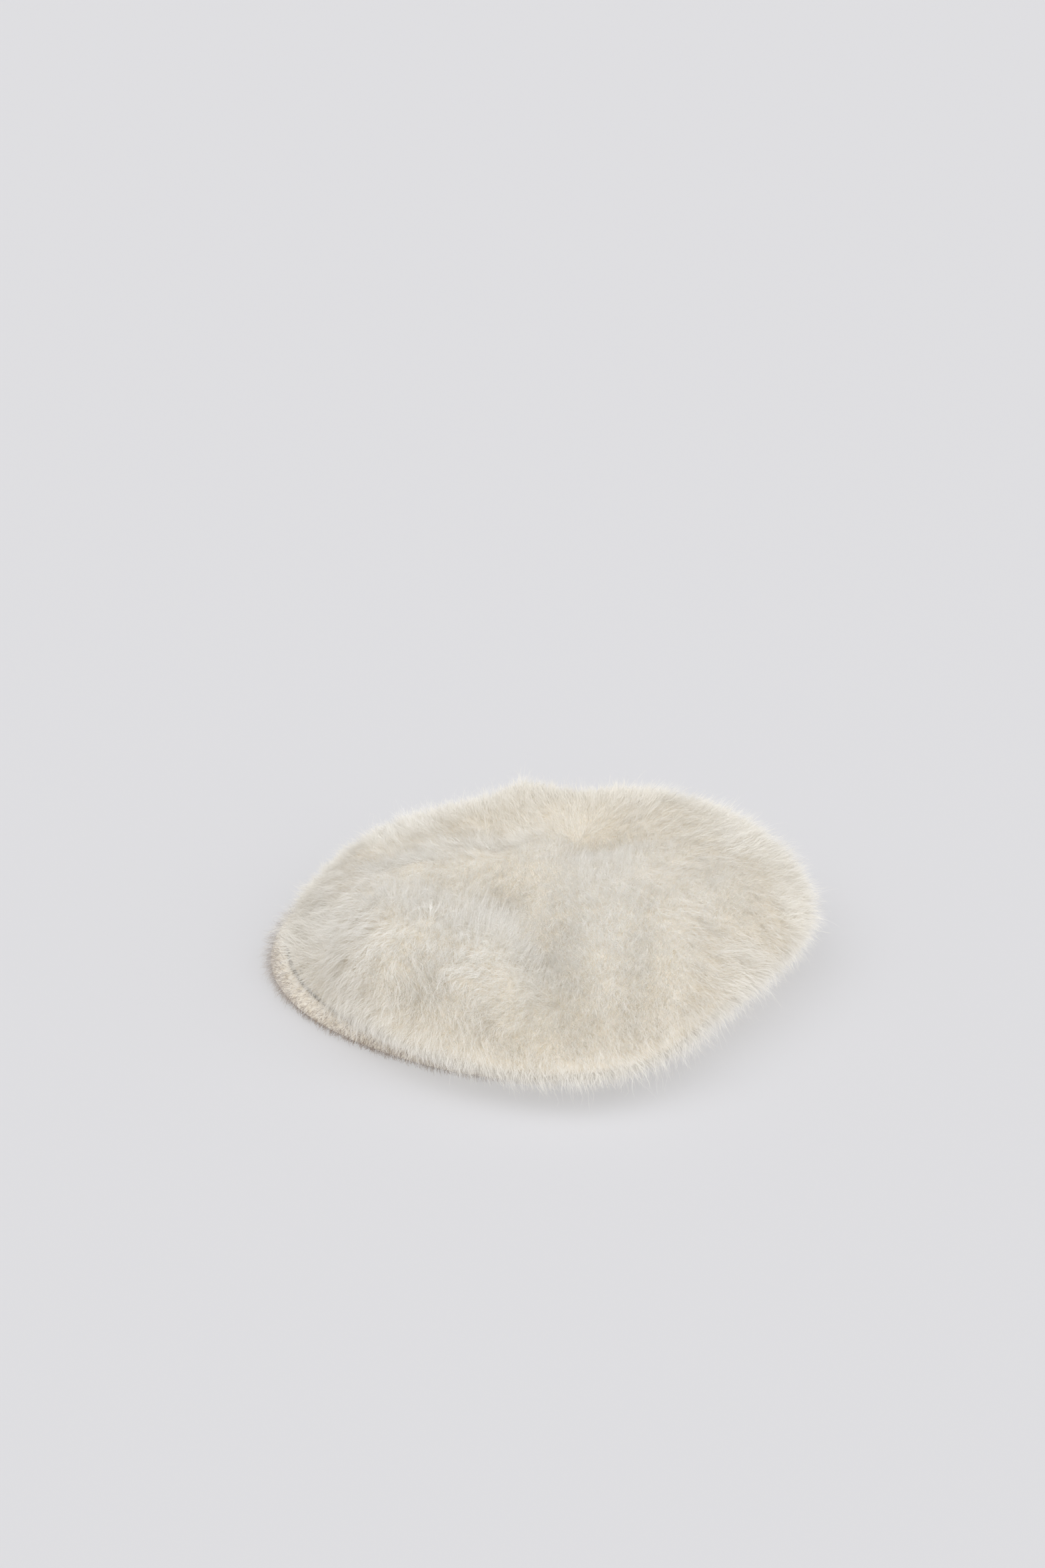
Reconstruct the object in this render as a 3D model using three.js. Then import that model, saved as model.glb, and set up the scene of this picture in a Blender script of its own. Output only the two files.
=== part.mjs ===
// A brushed angora beret, lying on its headband with its soft crown slumped round it.
//
// Frame: millimetres, +Z up, origin on the floor under the middle of the hat.
// X runs across the hat's longest width, and -Y is its front.
//
// Every piece is first drawn as a true ring or disc about the Z axis, as it comes off the
// knitting machine, and is then passed through one function, slump, which gives the lying hat
// its soft corners, lobes and dents. Because all pieces go through the same function, the
// pieces stay beside each other and the gaps between them stay open.

import * as THREE from 'three';

// ---------------------------------------------------------------- driving dimensions

const SEGMENTS = 64;              // facets round every full ring

const BAND_OUTER = 86;            // headband radius outside, unstretched
const BAND_WALL = 2;              // one layer of the folded band
const BAND_WIDTH = 7;             // radial width of the folded band
const BAND_HEIGHT = 13;           // outer wall of the band, above the floor
const BAND_INNER_DROP = 1;        // how far the inner wall ends below the outer one

const ELASTIC_THICK = 1;
const ELASTIC_HEIGHT = 6;
const CASING_CLEARANCE = 0.5;     // elastic to the band's fold

const CROWN_HEIGHT = 50;          // floor to the top of the crown before it slumps
const CROWN_RADIUS = 127;         // widest part of the upper layer
const CROWN_THICK = 5;            // knit with its pressed undercoat
const UNDERSIDE_THICK = 4.6;
const RIM_SEAM_RADIUS = 121.5;    // where the crown and the underside are linked
const YARN_RADIUS = 1.2;          // linking yarn, doubled and plump
const GAP = 0.3;                  // between pieces that touch

const GATHER_RADIUS = 5;          // ring of yarn that draws the crown's centre shut
const GATHER_YARN = 0.9;
const GATHER_DROP = 1;            // gap between that yarn and the crown's inside

// Both seams lie flat on the same level: band or underside edge, gap, yarn, gap, next edge.
const SEAM_HEIGHT = BAND_HEIGHT + GAP + YARN_RADIUS;
const SEAM_TOP = SEAM_HEIGHT + YARN_RADIUS + GAP;

// ---------------------------------------------------------------- how the hat lies

// Soft corners of a layer's outline: direction in degrees, reach in mm, half width in degrees.
const UPPER_OUTLINE = {
  across: 126, along: 125,
  corners: [
    { at: 14, reach: 15, spread: 24 },
    { at: 46, reach: 13, spread: 22 },
    { at: -72, reach: 13, spread: 20 },
    { at: -128, reach: -4, spread: 20 },
    { at: -34, reach: -9, spread: 20 },
    { at: 187, reach: -23, spread: 22 },
  ],
};
const LOWER_OUTLINE = {
  across: 124, along: 114,
  corners: [
    { at: 166, reach: 15, spread: 26 },
    { at: 20, reach: 8, spread: 26 },
    { at: -128, reach: -5, spread: 20 },
    { at: -84, reach: -3, spread: 30 },
    { at: -34, reach: -18, spread: 24 },
  ],
};
const LAYER_SPLIT_LOW = 6;        // below this height the lower outline holds
const LAYER_SPLIT_HIGH = 30;      // above this height the upper outline holds
const CROWN_HELD_RADIUS = 34;     // the top of the crown keeps its place inside this radius
const CROWN_FREE_LOW = 20;        // above these heights the crown no longer has to clear
const CROWN_FREE_HIGH = 36;       // the headband, and may shift as a whole

// Lobes (rise > 0) and dents (rise < 0): centre, rise as a part of the height, reach in mm.
const SWELLS = [
  { x: -68, y: -28, rise: 0.12, reachX: 34, reachY: 40 },
  { x: 80, y: -18, rise: 0.18, reachX: 44, reachY: 60 },
  { x: 0, y: 110, rise: 0.12, reachX: 20, reachY: 24 },
  { x: 74, y: 94, rise: 0.22, reachX: 44, reachY: 36 },
  { x: 18, y: -122, rise: -0.16, reachX: 70, reachY: 22 },
  { x: -71, y: 43, rise: -0.14, reachX: 18, reachY: 15 },
  { x: -14, y: 68, rise: -0.18, reachX: 24, reachY: 14 },
  { x: 34, y: 46, rise: -0.14, reachX: 16, reachY: 18 },
  { x: -19, y: -10, rise: -0.16, reachX: 14, reachY: 22 },
  { x: 6, y: -62, rise: -0.22, reachX: 11, reachY: 28 },
];

// ---------------------------------------------------------------- the slump

const radians = THREE.MathUtils.degToRad;

function bell(distance, reach) {
  return Math.exp(-0.5 * (distance / reach) ** 2);
}

function angleBetween(a, b) {
  return Math.atan2(Math.sin(a - b), Math.cos(a - b));
}

// Distance from the axis to a layer's outline in one direction.
function outlineRadius(outline, angle) {
  const ellipse = 1 / Math.hypot(Math.cos(angle) / outline.across, Math.sin(angle) / outline.along);
  return outline.corners.reduce(
    (radius, corner) =>
      radius + corner.reach * bell(angleBetween(angle, radians(corner.at)), radians(corner.spread)),
    ellipse,
  );
}

function swellAt(x, y) {
  return SWELLS.reduce(
    (sum, swell) =>
      sum + swell.rise * bell(Math.hypot((x - swell.x) / swell.reachX, (y - swell.y) / swell.reachY), 1),
    1,
  );
}

// Moves one point of the round hat to where it lies. The headband keeps its round shape, the
// base stays flat, and everything outside the band is drawn out to the two outlines.
function slump(point) {
  const angle = Math.atan2(point.y, point.x);
  const radius = Math.hypot(point.x, point.y);
  const outline = THREE.MathUtils.lerp(
    outlineRadius(LOWER_OUTLINE, angle),
    outlineRadius(UPPER_OUTLINE, angle),
    THREE.MathUtils.smoothstep(point.z, LAYER_SPLIT_LOW, LAYER_SPLIT_HIGH),
  );
  const held = THREE.MathUtils.lerp(
    BAND_OUTER + UNDERSIDE_THICK,
    CROWN_HELD_RADIUS,
    THREE.MathUtils.smoothstep(point.z, CROWN_FREE_LOW, CROWN_FREE_HIGH),
  );
  const freedom = THREE.MathUtils.smoothstep(radius, held, CROWN_RADIUS);
  const pull = 1 + freedom * (outline / CROWN_RADIUS - 1);
  const x = point.x * pull;
  const y = point.y * pull;
  return new THREE.Vector3(x, y, point.z * swellAt(x, y));
}

// ---------------------------------------------------------------- sections and rings

// Turns a closed half section, [radius, height] pairs running anticlockwise, about the Z axis
// and slumps it. A section that touches the axis starts and ends on it.
function turned(section, segments = SEGMENTS) {
  const points = section.map(([radius, height]) => new THREE.Vector2(radius, height));
  const geometry = new THREE.LatheGeometry(points, segments);
  geometry.rotateX(Math.PI / 2);
  const positions = geometry.getAttribute('position');
  for (let index = 0; index < positions.count; index += 1) {
    const lying = slump(new THREE.Vector3().fromBufferAttribute(positions, index));
    positions.setXYZ(index, lying.x, lying.y, lying.z);
  }
  geometry.computeVertexNormals();
  return geometry;
}

// The half section of cloth that follows a smooth middle line from its inner to its outer end.
// A crowding above 1 sets the steps closer together towards the outer end, where a fold is tight.
function clothSection(middle, thickness, steps, crowding = 1) {
  const line = new THREE.SplineCurve(middle.map(([radius, height]) => new THREE.Vector2(radius, height)));
  const along = Array.from({ length: steps + 1 }, (_, step) => 1 - (1 - step / steps) ** crowding);
  const side = (sign) =>
    along.map((u) => {
      const at = line.getPointAt(u);
      const tangent = line.getTangentAt(u);
      return [at.x - tangent.y * sign * thickness / 2, at.y + tangent.x * sign * thickness / 2];
    });
  return [side(-1), side(1).reverse()];
}

// A yarn that runs round the hat: a ring with a round section.
function yarnSection(radius, height, yarnRadius, sides = 6) {
  return Array.from({ length: sides + 1 }, (_, side) => {
    const turn = (side % sides) / sides * 2 * Math.PI;
    return [radius + yarnRadius * Math.cos(turn), height + yarnRadius * Math.sin(turn)];
  });
}

function closed(section) {
  return [...section, section[0]];
}

// ---------------------------------------------------------------- pieces

// Upper layer: from the middle of the crown out over the fold and down to the rim seam.
function crownTop() {
  const middle = CROWN_HEIGHT - CROWN_THICK / 2;
  const [inside, outside] = clothSection(
    [
      [0, middle],
      [32, middle + 0.3],
      [62, middle - 0.6],
      [86, middle - 3],
      [103, middle - 7.5],
      [116, middle - 13.5],
      [CROWN_RADIUS - CROWN_THICK / 2 - 0.6, middle - 21],
      [CROWN_RADIUS - CROWN_THICK / 2, middle - 25.5],
      [RIM_SEAM_RADIUS + 1.4, SEAM_TOP + 3],
      [RIM_SEAM_RADIUS, SEAM_TOP + 1],
      [RIM_SEAM_RADIUS, SEAM_TOP],
    ],
    CROWN_THICK,
    23,
    1.5,
  );
  inside[0][0] = 0;
  outside[outside.length - 1][0] = 0;
  return turned([...inside, ...outside]);
}

// Lower layer: from the band up over its edge, down towards the floor, round the roll at the
// rim and up to the rim seam.
function crownUnderside() {
  const seam = BAND_OUTER - BAND_WALL / 2;
  const [outside, inside] = clothSection(
    [
      [seam, SEAM_TOP],
      [seam + 0.4, SEAM_TOP + 2.2],
      [seam + 3.5, SEAM_TOP + 4],
      [seam + 9, SEAM_TOP + 1.6],
      [seam + 16, SEAM_TOP - 4.4],
      [seam + 24, SEAM_TOP - 9.5],
      [seam + 31, SEAM_TOP - 11.4],
      [RIM_SEAM_RADIUS, SEAM_TOP - 10.2],
      [RIM_SEAM_RADIUS + 1.6, SEAM_TOP - 7.4],
      [RIM_SEAM_RADIUS + 0.6, SEAM_TOP - 5],
      [RIM_SEAM_RADIUS, BAND_HEIGHT],
    ],
    UNDERSIDE_THICK,
    16,
  );
  return turned(closed([...outside, ...inside]));
}

// The band is one strip folded up inside itself, open at the top of the fold.
function headband() {
  const inner = BAND_OUTER - BAND_WIDTH;
  const innerTop = BAND_HEIGHT - BAND_INNER_DROP;
  const edge = BAND_WALL / 2;
  return turned(closed([
    [inner + edge, 0],
    [BAND_OUTER - edge, 0],
    [BAND_OUTER, edge],
    [BAND_OUTER, BAND_HEIGHT],
    [BAND_OUTER - BAND_WALL, BAND_HEIGHT],
    [BAND_OUTER - BAND_WALL, BAND_WALL],
    [inner + BAND_WALL, BAND_WALL],
    [inner + BAND_WALL, innerTop],
    [inner, innerTop],
    [inner, edge],
  ]));
}

// A flat elastic lies at the bottom of the fold.
function headbandElastic() {
  const middle = BAND_OUTER - BAND_WIDTH / 2;
  const bottom = BAND_WALL + CASING_CLEARANCE;
  return turned(closed([
    [middle - ELASTIC_THICK / 2, bottom],
    [middle + ELASTIC_THICK / 2, bottom],
    [middle + ELASTIC_THICK / 2, bottom + ELASTIC_HEIGHT],
    [middle - ELASTIC_THICK / 2, bottom + ELASTIC_HEIGHT],
  ]));
}

// Sewing yarn closes the fold above the elastic.
function hemStitch() {
  const height = BAND_HEIGHT - BAND_INNER_DROP - YARN_RADIUS / 2;
  return turned(yarnSection(BAND_OUTER - BAND_WIDTH / 2, height, YARN_RADIUS));
}

function bandSeam() {
  return turned(yarnSection(BAND_OUTER - BAND_WALL / 2, SEAM_HEIGHT, YARN_RADIUS));
}

function rimSeam() {
  return turned(yarnSection(RIM_SEAM_RADIUS, SEAM_HEIGHT, YARN_RADIUS));
}

// The knitted wedges of the crown meet in the middle, where a yarn on the inside draws them in.
function crownGather() {
  const height = CROWN_HEIGHT - CROWN_THICK - GATHER_DROP - GATHER_YARN;
  return turned(yarnSection(GATHER_RADIUS, height, GATHER_YARN), SEGMENTS / 3);
}

// ---------------------------------------------------------------- materials

function fabric(color, roughness) {
  return new THREE.MeshStandardMaterial({ color, roughness, metalness: 0 });
}

const angora = fabric(0xe9e3d6, 0.95);
const bandKnit = fabric(0xe4ddcf, 0.95);
const yarn = fabric(0xe2dac9, 0.9);
const elastic = fabric(0xf1efe9, 0.7);

// ---------------------------------------------------------------- assembly

const pieces = [
  ['crown_top', crownTop(), angora],
  ['crown_underside', crownUnderside(), angora],
  ['rim_seam', rimSeam(), yarn],
  ['crown_gather', crownGather(), yarn],
  ['headband', headband(), bandKnit],
  ['band_seam', bandSeam(), yarn],
  ['headband_elastic', headbandElastic(), elastic],
  ['hem_stitch', hemStitch(), yarn],
];

const beret = new THREE.Group();
pieces.forEach(([name, geometry, material]) => {
  const mesh = new THREE.Mesh(geometry, material);
  mesh.name = name;
  beret.add(mesh);
});

// The origin goes under the middle of the whole hat.
const middle = new THREE.Box3().setFromObject(beret).getCenter(new THREE.Vector3());
beret.position.set(-middle.x, -middle.y, 0);

export default beret;
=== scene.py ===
# %% [markdown]
# # A brushed angora beret
# A beret is two layers of knitted cloth linked round the rim, with a headband inside. Angora is
# brushed until long loose fibres hide the stitches, so most of what is seen is fibre, not cloth.
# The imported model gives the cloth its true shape. This lesson gives it its stitches and its pile.

# %% Load the frame
import math

import bmesh
import bpy
import numpy as np
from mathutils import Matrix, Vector, noise


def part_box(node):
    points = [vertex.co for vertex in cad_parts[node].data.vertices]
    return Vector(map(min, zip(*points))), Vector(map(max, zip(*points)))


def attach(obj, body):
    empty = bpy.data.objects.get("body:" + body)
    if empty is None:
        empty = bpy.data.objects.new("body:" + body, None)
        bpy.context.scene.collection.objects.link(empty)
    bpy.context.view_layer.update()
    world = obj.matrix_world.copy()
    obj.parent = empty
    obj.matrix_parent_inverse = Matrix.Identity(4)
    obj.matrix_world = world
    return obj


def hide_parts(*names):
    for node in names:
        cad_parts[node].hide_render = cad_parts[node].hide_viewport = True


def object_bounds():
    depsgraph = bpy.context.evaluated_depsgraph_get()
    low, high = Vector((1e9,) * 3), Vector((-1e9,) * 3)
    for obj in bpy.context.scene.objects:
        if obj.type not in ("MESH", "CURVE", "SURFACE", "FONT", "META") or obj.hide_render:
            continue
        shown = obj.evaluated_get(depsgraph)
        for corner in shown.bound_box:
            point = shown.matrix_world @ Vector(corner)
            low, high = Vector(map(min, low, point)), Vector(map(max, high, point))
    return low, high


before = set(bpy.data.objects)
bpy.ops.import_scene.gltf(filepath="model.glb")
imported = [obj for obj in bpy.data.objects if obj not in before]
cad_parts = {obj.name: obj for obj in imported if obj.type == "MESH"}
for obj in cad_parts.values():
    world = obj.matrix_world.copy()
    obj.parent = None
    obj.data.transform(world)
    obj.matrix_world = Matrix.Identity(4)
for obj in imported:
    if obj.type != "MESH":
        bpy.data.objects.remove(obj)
cad_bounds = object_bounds()

MM = 0.001
BODY = "root"
scene = bpy.context.scene
print("nodes:", sorted(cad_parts))

# %% [markdown]
# ## Camera
# The hat lies on a floor and is looked at from about thirty degrees above it. A fairly long lens
# keeps its round outline from bulging. The camera is placed first, so that every later step can
# be judged through it.

# %% Place the camera
CAMERA_LENS = 65.0
CAMERA_PLACE = Vector((-8.0, -1240.0, 712.9)) * MM
CAMERA_PITCH = math.radians(26.0)

camera_data = bpy.data.cameras.new("camera")
camera_data.lens = CAMERA_LENS
camera = bpy.data.objects.new("camera", camera_data)
camera.location = CAMERA_PLACE
camera.rotation_euler = (math.pi / 2 - CAMERA_PITCH, 0.0, 0.0)
scene.collection.objects.link(camera)
scene.camera = camera
print("camera:", CAMERA_LENS, "mm lens,", round(camera.location.length, 2), "m from the hat")

# %% [markdown]
# ## Node helpers
# Materials and Geometry Nodes are both built from nodes. A few small helpers keep that readable:
# one adds any node and fills its inputs, and the others add the kinds that are used most.

# %% Node helpers
def add(tree, kind, inputs=(), **settings):
    """A new node with its settings. An input is a value, or a socket to link from."""
    made = tree.nodes.new(kind)
    for name, value in settings.items():
        setattr(made, name, value)
    for key, value in dict(inputs).items():
        if isinstance(value, bpy.types.NodeSocket):
            tree.links.new(value, made.inputs[key])
        else:
            made.inputs[key].default_value = value
    return made


def number(tree, operation, *values, clamp=False):
    """A maths node on numbers or sockets, and its result."""
    inputs = enumerate(values)
    return add(tree, "ShaderNodeMath", inputs, operation=operation, use_clamp=clamp).outputs[0]


def vector(tree, operation, first, second=None):
    """A vector maths node, and its result. For SCALE the second value is the factor."""
    made = add(tree, "ShaderNodeVectorMath", {0: first}, operation=operation)
    if second is not None:
        socket = made.inputs["Scale"] if operation == "SCALE" else made.inputs[1]
        if isinstance(second, bpy.types.NodeSocket):
            tree.links.new(second, socket)
        else:
            socket.default_value = second
    return made.outputs["Value" if operation in ("DOT_PRODUCT", "LENGTH") else "Vector"]


def total(tree, first, *others):
    """The sum of several vectors."""
    for each in others:
        first = vector(tree, "ADD", first, each)
    return first


def blended(tree, factor, first, second):
    """A mix of two colours."""
    inputs = {0: factor, 6: first, 7: second}
    return add(tree, "ShaderNodeMix", inputs, data_type="RGBA").outputs[2]


def remapped(tree, value, low, high, new_low, new_high):
    """A value moved from one range to another, held inside it."""
    inputs = {0: value, 1: low, 2: high, 3: new_low, 4: new_high}
    return add(tree, "ShaderNodeMapRange", inputs).outputs[0]


# %% [markdown]
# ## Colours
# Undyed angora is a warm cream. Where fibres lie thick they catch the light and look nearly
# white, and between them the felted ground shows darker and yellower.

# %% Colours
def linear(hex_colour):
    """A colour written as on a paint chart, as the linear values that shaders use."""
    parts = [int(hex_colour[i:i + 2], 16) / 255 for i in (0, 2, 4)]
    return [c / 12.92 if c <= 0.04045 else ((c + 0.055) / 1.055) ** 2.4 for c in parts] + [1.0]


CREAM_TIP = (0.99, 0.984, 0.966, 1.0)
# The root colour is darker than the fibre itself: painted shade. A fibre whose tone is set low
# keeps it along its whole length.
CREAM_ROOT = (0.80, 0.762, 0.685, 1.0)
PALE_TIP = (0.80, 0.785, 0.775, 1.0)
# Deep brown: painted shade for the gap under the crown's edge.
UNDER_SHADE_ROOT = (0.26, 0.185, 0.13, 1.0)
GROUND_LIGHT = linear("f3ece0")
# The ground's dark colour is painted shade, laid into the dips of the felt and of the knitted ribs.
GROUND_DARK = linear("e0d5c1")
YARN_DARK = linear("cbbb9b")
ELASTIC_WHITE = linear("efece4")
ELASTIC_DARK = linear("cfcabd")
print("ground:", [round(part, 2) for part in GROUND_LIGHT[:3]], "in the light, linear")

# %% [markdown]
# ## The fibre's finish
# A fibre is darker and warmer at its root, where its neighbours shade it, and paler at its tip.
# It carries that in its own UV map: across the map is the fibre's tone, and up the map is the way
# from root to tip. Fine fibre also lets some light through, so a fifth of its shader is
# translucent. That also evens out a fibre's two sides.

# %% The fibre's finish
FIBRE_MAP = "OFBake"
SEEN_THROUGH = 0.2
PALE_FROM = 0.6      # the way up a fibre where it is as pale as it gets
ROOT_SHARE = 0.55    # how pale its root is beside that


def new_finish(name):
    """A new material, its node tree and its shader."""
    material = bpy.data.materials.new(name)
    material.use_nodes = True
    tree = material.node_tree
    return material, tree, tree.nodes["Principled BSDF"]


def fibre_finish(name, root, tip):
    material, tree, shader = new_finish(name)
    place = add(tree, "ShaderNodeUVMap", uv_map=FIBRE_MAP).outputs[0]
    axes = add(tree, "ShaderNodeSeparateXYZ", {0: place})
    paler = remapped(tree, axes.outputs[1], 0.0, PALE_FROM, ROOT_SHARE, 1.0)
    toned = blended(tree, number(tree, "MULTIPLY", paler, axes.outputs[0]), root, tip)
    tree.links.new(toned, shader.inputs["Base Color"])
    shader.inputs["Roughness"].default_value = 0.75
    shader.inputs["Specular IOR Level"].default_value = 0.15
    through = add(tree, "ShaderNodeBsdfTranslucent", {"Color": toned}).outputs[0]
    both = add(tree, "ShaderNodeMixShader", {0: SEEN_THROUGH, 1: shader.outputs[0], 2: through})
    tree.links.new(both.outputs[0], tree.nodes["Material Output"].inputs["Surface"])
    return material


crown_fibre = fibre_finish("angora_crown_fibre", CREAM_ROOT, CREAM_TIP)
under_fibre = fibre_finish("angora_underside_fibre", UNDER_SHADE_ROOT, PALE_TIP)
print("fibre finishes:", crown_fibre.name, under_fibre.name)

# %% [markdown]
# ## The cloth's finish
# Under its pile the cloth is knitted, and slightly felted where fibres have matted together.

# %% The cloth's finish
def cloth_finish(name, light, dark):
    material, tree, shader = new_finish(name)
    place = add(tree, "ShaderNodeTexCoord").outputs["Object"]
    felt = add(tree, "ShaderNodeTexNoise", {"Vector": place, "Scale": 260.0, "Detail": 6.0})
    patches = add(tree, "ShaderNodeTexNoise", {"Vector": place, "Scale": 45.0, "Detail": 2.0})
    broad = number(tree, "MULTIPLY", patches.outputs[0], 0.3)
    mask = number(tree, "MULTIPLY_ADD", felt.outputs[0], 0.7, broad)
    # Where the felt's bumps dip the colour darkens: painted shade. The broad patches vary it at
    # random.
    toned = blended(tree, remapped(tree, mask, 0.35, 0.65, 0.0, 1.0), dark, light)
    tree.links.new(toned, shader.inputs["Base Color"])
    relief = {"Height": felt.outputs[0], "Strength": 0.5, "Distance": 0.4 * MM}
    bump = add(tree, "ShaderNodeBump", relief)
    tree.links.new(bump.outputs[0], shader.inputs["Normal"])
    shader.inputs["Roughness"].default_value = 0.9
    shader.inputs["Sheen Weight"].default_value = 0.3
    return material


ground = cloth_finish("angora_ground", GROUND_LIGHT, GROUND_DARK)
print("cloth finish:", ground.name)

# %% [markdown]
# ## The cloth
# The imported solids are plain facets. A copy with its corners merged and smoothed by subdivision
# keeps their shape and their thickness. The crown later gets a little unevenness, so that it lies
# like knitting.

# %% Smooth copies of the cloth
def finished_mesh(piece, *modifiers):
    """Apply a piece's modifiers, and leave it a plain mesh."""
    bpy.context.view_layer.update()
    evaluated = piece.evaluated_get(bpy.context.evaluated_depsgraph_get())
    plain = bpy.data.meshes.new_from_object(evaluated)
    piece.modifiers.clear()
    piece.data = plain
    plain.name = piece.name
    return piece


def shown(name, mesh, material=None):
    piece = bpy.data.objects.new(name, mesh)
    scene.collection.objects.link(piece)
    if material:
        mesh.materials.append(material)
    return piece


def smooth_cloth(node, name, material, levels, simple=False):
    work = bmesh.new()
    work.from_mesh(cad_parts[node].data)
    bmesh.ops.remove_doubles(work, verts=work.verts, dist=0.01 * MM)
    bmesh.ops.join_triangles(
        work, faces=work.faces, angle_face_threshold=math.pi, angle_shape_threshold=math.pi
    )
    bmesh.ops.recalc_face_normals(work, faces=work.faces)
    mesh = bpy.data.meshes.new(name)
    work.to_mesh(mesh)
    work.free()
    mesh.materials.clear()
    piece = shown(name, mesh, material)
    subdivision = piece.modifiers.new("smooth", "SUBSURF")
    subdivision.levels = subdivision.render_levels = levels
    if simple:
        subdivision.subdivision_type = "SIMPLE"
    finished_mesh(piece)
    piece.data.shade_smooth()
    return piece


def corners(mesh):
    """Every vertex's place and normal, as two arrays."""
    count = len(mesh.vertices)
    place, normal = np.empty(count * 3), np.empty(count * 3)
    mesh.vertices.foreach_get("co", place)
    mesh.vertex_normals.foreach_get("vector", normal)
    return place.reshape(-1, 3), normal.reshape(-1, 3)


def waves(places, size, seed):
    """Smooth noise from -1 to 1 in three channels at each place, with waves of this size."""
    shifts = [Vector((seed * 7.13 + 31.7 * k, seed * 3.71, seed * 5.57)) for k in range(3)]
    scaled = [Vector(place) / size for place in places]
    return np.array([[noise.noise(place + shift) for shift in shifts] for place in scaled])


crown_skin = smooth_cloth("crown_top", "crown_cloth", ground, 2)
under_skin = smooth_cloth("crown_underside", "underside_cloth", ground, 1)
for skin in (crown_skin, under_skin):
    print(skin.name, len(skin.data.polygons), "faces")

# %% [markdown]
# ## Hollows
# A slack crown sinks into soft hollows between its fuller parts. The imported model has the broad
# ones. Here each is deepened a little, and the cloth gets the small lumps that knitting has when
# nothing stretches it. Both walls of the cloth move together, so it keeps its thickness. The same
# table later darkens the fibres in the hollows and lightens them on the full parts: painted shade
# and painted light.

# %% Sink the hollows
# Each hollow's place across and along, its reach across and along, and its depth, all in mm.
# A negative depth is a full part.
HOLLOWS = [
    (-71, 47, 12, 10, 4.4),
    (-20, 72, 9, 22, 4.2),
    (30, 45, 14, 14, 4.2),
    (-18, 2, 11, 17, 4.0),
    (10, -62, 9, 18, 1.2),
    (14, -90, 8, 15, 1.6),
    (-52, -2, 9, 15, 3.0),
    (-58, -84, 7, 13, 3.0),
    (-100, -56, 7, 12, 2.2),
    (-24, -104, 7, 14, 2.4),
    (50, -64, 6, 20, 2.0),
    (80, -50, 6, 16, 1.2),
    (24, 68, 13, 12, 3.4),
    (22, 114, 12, 12, 3.0),
    (-62, 22, 9, 9, -3.0),
    (-72, -44, 16, 20, -4.0),
    (-30, -66, 12, 20, -3.8),
    (30, -24, 13, 26, -4.0),
    (64, -92, 8, 16, -2.2),
    (34, -100, 6, 14, -2.2),
    (-8, 116, 9, 10, -3.4),
]


HOLLOW_SOFTNESS = 1.6
SINKS_FROM, SINKS_OVER = 18 * MM, 12 * MM   # the cloth near the floor stays where it is
LUMP_HEIGHT, LUMP_SIZE = 0.9 * MM, 17 * MM


def hollowness(place):
    """How deep in a hollow each place is, as the depth in metres."""
    depth = np.zeros(len(place))
    for across, along, wide, long, deep in HOLLOWS:
        aside = (place[:, 0] / MM - across) / wide
        ahead = (place[:, 1] / MM - along) / long
        depth += deep * MM * np.exp(-(aside ** 2 + ahead ** 2) / HOLLOW_SOFTNESS)
    return depth


def move(piece, shift):
    place, _ = corners(piece.data)
    piece.data.vertices.foreach_set("co", (place + shift).ravel())
    piece.data.update()


crown_place, _ = corners(crown_skin.data)
high_up = np.clip((crown_place[:, 2] - SINKS_FROM) / SINKS_OVER, 0, 1)
sink = np.zeros_like(crown_place)
sink[:, 2] = -hollowness(crown_place) * high_up
sink += LUMP_HEIGHT * waves(crown_place * [1, 1, 0], LUMP_SIZE, 5)
move(crown_skin, sink)
print("hollows:", len(HOLLOWS), "deepest", round(-sink[:, 2].min() / MM, 1), "mm")

# %% [markdown]
# ## Combing
# Brushing lays the fibres over. On this hat they run outwards from a point behind the middle of
# the crown, and fall where the cloth turns down at the rim. Each corner of the cloth stores the
# way its fibres lie, their tone and how long they are: longest towards the left and front,
# shortest at the right and back. It also stores whether it is on the cloth's outer side, because
# the long pile grows only there.

# %% Directions round the hat
head_low, head_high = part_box("headband")
MIDDLE = np.array([(head_low.x + head_high.x) / 2, (head_low.y + head_high.y) / 2])
SHORT_SIDE = math.radians(55.0)
COMBED_FROM = np.array([22.0, 62.0]) * MM
FULL_HOLLOW = 4 * MM   # a hollow this deep has its full effect on its fibres
RIM_LEAN_FROM, RIM_LEAN_OVER = 90 * MM, 30 * MM
RIM_SLOTS = 72        # the rim's distance is found once for each five degrees


def stored(mesh, name, values):
    """Store one number or one vector for each corner of the cloth."""
    kind, field = ("FLOAT_VECTOR", "vector") if values.ndim == 2 else ("FLOAT", "value")
    layer = mesh.attributes.new(name, kind, "POINT")
    layer.data.foreach_set(field, values.astype(np.float32).ravel())


def bump_at(around, middle, spread):
    """1 in one direction round the hat, falling to 0 away from it. middle and spread: degrees."""
    away = (np.degrees(around) - middle + 180.0) % 360.0 - 180.0
    return np.exp(-((away / spread) ** 2))


def outward(place):
    """The way from the middle of the hat to each corner, level with the floor, and how far."""
    out = place[:, :2] - MIDDLE
    return out, np.linalg.norm(out, axis=1)


print("middle of the hat:", [round(float(each) / MM, 1) for each in MIDDLE], "mm")

# %% [markdown]
# ## The edges
# The two layers differ most at their edges, where they hang, rub and are tucked in. One rule for
# each layer changes the length of its fibres there, by direction round the hat. It also lowers
# their tone at the crown's rim and back, and where the crown's edge overhangs the lower layer:
# painted shade.

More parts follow.
